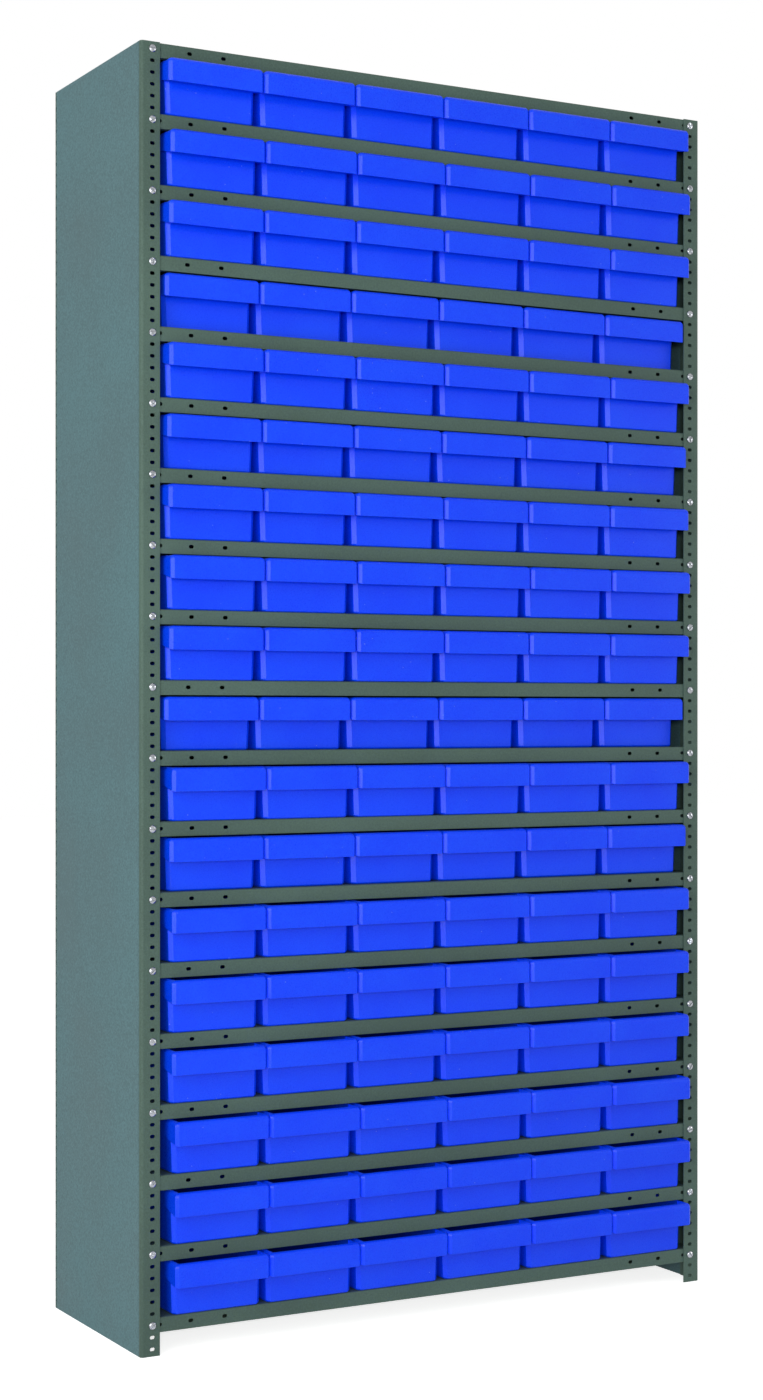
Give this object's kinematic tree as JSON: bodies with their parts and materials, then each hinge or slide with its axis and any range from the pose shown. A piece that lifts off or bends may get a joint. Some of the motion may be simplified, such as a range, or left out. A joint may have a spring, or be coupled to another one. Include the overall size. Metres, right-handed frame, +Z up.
{
  "type": "shelving unit with drawers",
  "caption": "Closed steel shelving unit: slotted corner posts, folded shelves, sheet sides and back, and rows of open-topped plastic drawers that slide out by a front pull.",
  "frame": {"origin": "on the floor under the middle of the unit's box, drawers at rest included", "axes": "+Z up, -Y towards the user in front of the drawers, +X to the user's right"},
  "size_m": [0.9276, 0.3294, 1.7653],
  "materials": {
    "enamel": "satin",
    "drawer_plastic": "fine matte grain",
    "zinc": "bright zinc"
  },
  "bodies": {
    "cabinet": {"post_front_left": "enamel", "post_front_right": "enamel", "post_rear_left": "enamel", "post_rear_right": "enamel", "side_panel_left": "enamel", "side_panel_right": "enamel", "back_panel": "enamel", "top_shelf": "enamel", "middle_shelves": "enamel", "bottom_shelf": "enamel", "shelf_bolts": "zinc"},
    "drawer_row_01": {"drawer_row_01": "drawer_plastic"},
    "drawer_row_02": {"drawer_row_02": "drawer_plastic"},
    "drawer_row_03": {"drawer_row_03": "drawer_plastic"},
    "drawer_row_04": {"drawer_row_04": "drawer_plastic"},
    "drawer_row_05": {"drawer_row_05": "drawer_plastic"},
    "drawer_row_06": {"drawer_row_06": "drawer_plastic"},
    "drawer_r07_c1": {"drawer_r07_c1": "drawer_plastic"},
    "drawer_r07_c2": {"drawer_r07_c2": "drawer_plastic"},
    "drawer_r07_c3": {"drawer_r07_c3": "drawer_plastic"},
    "drawer_r07_c4": {"drawer_r07_c4": "drawer_plastic"},
    "drawer_r07_c5": {"drawer_r07_c5": "drawer_plastic"},
    "drawer_r07_c6": {"drawer_r07_c6": "drawer_plastic"},
    "drawer_r08_c1": {"drawer_r08_c1": "drawer_plastic"},
    "drawer_r08_c2": {"drawer_r08_c2": "drawer_plastic"},
    "drawer_r08_c3": {"drawer_r08_c3": "drawer_plastic"},
    "drawer_r08_c4": {"drawer_r08_c4": "drawer_plastic"},
    "drawer_r08_c5": {"drawer_r08_c5": "drawer_plastic"},
    "drawer_r08_c6": {"drawer_r08_c6": "drawer_plastic"},
    "drawer_r09_c1": {"drawer_r09_c1": "drawer_plastic"},
    "drawer_r09_c2": {"drawer_r09_c2": "drawer_plastic"},
    "drawer_r09_c3": {"drawer_r09_c3": "drawer_plastic"},
    "drawer_r09_c4": {"drawer_r09_c4": "drawer_plastic"},
    "drawer_r09_c5": {"drawer_r09_c5": "drawer_plastic"},
    "drawer_r09_c6": {"drawer_r09_c6": "drawer_plastic"},
    "drawer_r10_c1": {"drawer_r10_c1": "drawer_plastic"},
    "drawer_r10_c2": {"drawer_r10_c2": "drawer_plastic"},
    "drawer_r10_c3": {"drawer_r10_c3": "drawer_plastic"},
    "drawer_r10_c4": {"drawer_r10_c4": "drawer_plastic"},
    "drawer_r10_c5": {"drawer_r10_c5": "drawer_plastic"},
    "drawer_r10_c6": {"drawer_r10_c6": "drawer_plastic"},
    "drawer_r11_c1": {"drawer_r11_c1": "drawer_plastic"},
    "drawer_r11_c2": {"drawer_r11_c2": "drawer_plastic"},
    "drawer_r11_c3": {"drawer_r11_c3": "drawer_plastic"},
    "drawer_r11_c4": {"drawer_r11_c4": "drawer_plastic"},
    "drawer_r11_c5": {"drawer_r11_c5": "drawer_plastic"},
    "drawer_r11_c6": {"drawer_r11_c6": "drawer_plastic"},
    "drawer_r12_c1": {"drawer_r12_c1": "drawer_plastic"},
    "drawer_r12_c2": {"drawer_r12_c2": "drawer_plastic"},
    "drawer_r12_c3": {"drawer_r12_c3": "drawer_plastic"},
    "drawer_r12_c4": {"drawer_r12_c4": "drawer_plastic"},
    "drawer_r12_c5": {"drawer_r12_c5": "drawer_plastic"},
    "drawer_r12_c6": {"drawer_r12_c6": "drawer_plastic"},
    "drawer_row_13": {"drawer_row_13": "drawer_plastic"},
    "drawer_row_14": {"drawer_row_14": "drawer_plastic"},
    "drawer_row_15": {"drawer_row_15": "drawer_plastic"},
    "drawer_row_16": {"drawer_row_16": "drawer_plastic"},
    "drawer_row_17": {"drawer_row_17": "drawer_plastic"},
    "drawer_row_18": {"drawer_row_18": "drawer_plastic"}
  },
  "joints": [
    {"name": "slide_row_01", "type": "slide", "parent": "cabinet", "child": "drawer_row_01", "axis": [0, -1, 0], "range_m": [-0.032, 0.2]},
    {"name": "slide_row_02", "type": "slide", "parent": "cabinet", "child": "drawer_row_02", "axis": [0, -1, 0], "range_m": [-0.032, 0.2]},
    {"name": "slide_row_03", "type": "slide", "parent": "cabinet", "child": "drawer_row_03", "axis": [0, -1, 0], "range_m": [-0.032, 0.2]},
    {"name": "slide_row_04", "type": "slide", "parent": "cabinet", "child": "drawer_row_04", "axis": [0, -1, 0], "range_m": [-0.016, 0.216]},
    {"name": "slide_row_05", "type": "slide", "parent": "cabinet", "child": "drawer_row_05", "axis": [0, -1, 0], "range_m": [-0.032, 0.2]},
    {"name": "slide_row_06", "type": "slide", "parent": "cabinet", "child": "drawer_row_06", "axis": [0, -1, 0], "range_m": [-0.024, 0.208]},
    {"name": "slide_r07_c1", "type": "slide", "parent": "cabinet", "child": "drawer_r07_c1", "axis": [0, -1, 0], "range_m": [-0.032, 0.2]},
    {"name": "slide_r07_c2", "type": "slide", "parent": "cabinet", "child": "drawer_r07_c2", "axis": [0, -1, 0], "range_m": [-0.032, 0.2]},
    {"name": "slide_r07_c3", "type": "slide", "parent": "cabinet", "child": "drawer_r07_c3", "axis": [0, -1, 0], "range_m": [-0.032, 0.2]},
    {"name": "slide_r07_c4", "type": "slide", "parent": "cabinet", "child": "drawer_r07_c4", "axis": [0, -1, 0], "range_m": [-0.032, 0.2]},
    {"name": "slide_r07_c5", "type": "slide", "parent": "cabinet", "child": "drawer_r07_c5", "axis": [0, -1, 0], "range_m": [-0.032, 0.2]},
    {"name": "slide_r07_c6", "type": "slide", "parent": "cabinet", "child": "drawer_r07_c6", "axis": [0, -1, 0], "range_m": [-0.032, 0.2]},
    {"name": "slide_r08_c1", "type": "slide", "parent": "cabinet", "child": "drawer_r08_c1", "axis": [0, -1, 0], "range_m": [-0.032, 0.2]},
    {"name": "slide_r08_c2", "type": "slide", "parent": "cabinet", "child": "drawer_r08_c2", "axis": [0, -1, 0], "range_m": [-0.032, 0.2]},
    {"name": "slide_r08_c3", "type": "slide", "parent": "cabinet", "child": "drawer_r08_c3", "axis": [0, -1, 0], "range_m": [-0.032, 0.2]},
    {"name": "slide_r08_c4", "type": "slide", "parent": "cabinet", "child": "drawer_r08_c4", "axis": [0, -1, 0], "range_m": [-0.032, 0.2]},
    {"name": "slide_r08_c5", "type": "slide", "parent": "cabinet", "child": "drawer_r08_c5", "axis": [0, -1, 0], "range_m": [-0.032, 0.2]},
    {"name": "slide_r08_c6", "type": "slide", "parent": "cabinet", "child": "drawer_r08_c6", "axis": [0, -1, 0], "range_m": [-0.032, 0.2]},
    {"name": "slide_r09_c1", "type": "slide", "parent": "cabinet", "child": "drawer_r09_c1", "axis": [0, -1, 0], "range_m": [-0.032, 0.2]},
    {"name": "slide_r09_c2", "type": "slide", "parent": "cabinet", "child": "drawer_r09_c2", "axis": [0, -1, 0], "range_m": [-0.032, 0.2]},
    {"name": "slide_r09_c3", "type": "slide", "parent": "cabinet", "child": "drawer_r09_c3", "axis": [0, -1, 0], "range_m": [-0.032, 0.2]},
    {"name": "slide_r09_c4", "type": "slide", "parent": "cabinet", "child": "drawer_r09_c4", "axis": [0, -1, 0], "range_m": [-0.032, 0.2]},
    {"name": "slide_r09_c5", "type": "slide", "parent": "cabinet", "child": "drawer_r09_c5", "axis": [0, -1, 0], "range_m": [-0.032, 0.2]},
    {"name": "slide_r09_c6", "type": "slide", "parent": "cabinet", "child": "drawer_r09_c6", "axis": [0, -1, 0], "range_m": [-0.032, 0.2]},
    {"name": "slide_r10_c1", "type": "slide", "parent": "cabinet", "child": "drawer_r10_c1", "axis": [0, -1, 0], "range_m": [-0.017, 0.215]},
    {"name": "slide_r10_c2", "type": "slide", "parent": "cabinet", "child": "drawer_r10_c2", "axis": [0, -1, 0], "range_m": [-0.017, 0.215]},
    {"name": "slide_r10_c3", "type": "slide", "parent": "cabinet", "child": "drawer_r10_c3", "axis": [0, -1, 0], "range_m": [-0.017, 0.215]},
    {"name": "slide_r10_c4", "type": "slide", "parent": "cabinet", "child": "drawer_r10_c4", "axis": [0, -1, 0], "range_m": [-0.017, 0.215]},
    {"name": "slide_r10_c5", "type": "slide", "parent": "cabinet", "child": "drawer_r10_c5", "axis": [0, -1, 0], "range_m": [-0.017, 0.215]},
    {"name": "slide_r10_c6", "type": "slide", "parent": "cabinet", "child": "drawer_r10_c6", "axis": [0, -1, 0], "range_m": [-0.017, 0.215]},
    {"name": "slide_r11_c1", "type": "slide", "parent": "cabinet", "child": "drawer_r11_c1", "axis": [0, -1, 0], "range_m": [-0.032, 0.2]},
    {"name": "slide_r11_c2", "type": "slide", "parent": "cabinet", "child": "drawer_r11_c2", "axis": [0, -1, 0], "range_m": [-0.032, 0.2]},
    {"name": "slide_r11_c3", "type": "slide", "parent": "cabinet", "child": "drawer_r11_c3", "axis": [0, -1, 0], "range_m": [-0.032, 0.2]},
    {"name": "slide_r11_c4", "type": "slide", "parent": "cabinet", "child": "drawer_r11_c4", "axis": [0, -1, 0], "range_m": [-0.032, 0.2]},
    {"name": "slide_r11_c5", "type": "slide", "parent": "cabinet", "child": "drawer_r11_c5", "axis": [0, -1, 0], "range_m": [-0.032, 0.2]},
    {"name": "slide_r11_c6", "type": "slide", "parent": "cabinet", "child": "drawer_r11_c6", "axis": [0, -1, 0], "range_m": [-0.032, 0.2]},
    {"name": "slide_r12_c1", "type": "slide", "parent": "cabinet", "child": "drawer_r12_c1", "axis": [0, -1, 0], "range_m": [-0.024, 0.208]},
    {"name": "slide_r12_c2", "type": "slide", "parent": "cabinet", "child": "drawer_r12_c2", "axis": [0, -1, 0], "range_m": [-0.024, 0.208]},
    {"name": "slide_r12_c3", "type": "slide", "parent": "cabinet", "child": "drawer_r12_c3", "axis": [0, -1, 0], "range_m": [-0.024, 0.208]},
    {"name": "slide_r12_c4", "type": "slide", "parent": "cabinet", "child": "drawer_r12_c4", "axis": [0, -1, 0], "range_m": [-0.024, 0.208]},
    {"name": "slide_r12_c5", "type": "slide", "parent": "cabinet", "child": "drawer_r12_c5", "axis": [0, -1, 0], "range_m": [-0.024, 0.208]},
    {"name": "slide_r12_c6", "type": "slide", "parent": "cabinet", "child": "drawer_r12_c6", "axis": [0, -1, 0], "range_m": [-0.024, 0.208]},
    {"name": "slide_row_13", "type": "slide", "parent": "cabinet", "child": "drawer_row_13", "axis": [0, -1, 0], "range_m": [-0.032, 0.2]},
    {"name": "slide_row_14", "type": "slide", "parent": "cabinet", "child": "drawer_row_14", "axis": [0, -1, 0], "range_m": [-0.032, 0.2]},
    {"name": "slide_row_15", "type": "slide", "parent": "cabinet", "child": "drawer_row_15", "axis": [0, -1, 0], "range_m": [-0.032, 0.2]},
    {"name": "slide_row_16", "type": "slide", "parent": "cabinet", "child": "drawer_row_16", "axis": [0, -1, 0], "range_m": [-0.032, 0.2]},
    {"name": "slide_row_17", "type": "slide", "parent": "cabinet", "child": "drawer_row_17", "axis": [0, -1, 0], "range_m": [-0.032, 0.2]},
    {"name": "slide_row_18", "type": "slide", "parent": "cabinet", "child": "drawer_row_18", "axis": [0, -1, 0], "range_m": [-0.032, 0.2]}
  ]
}
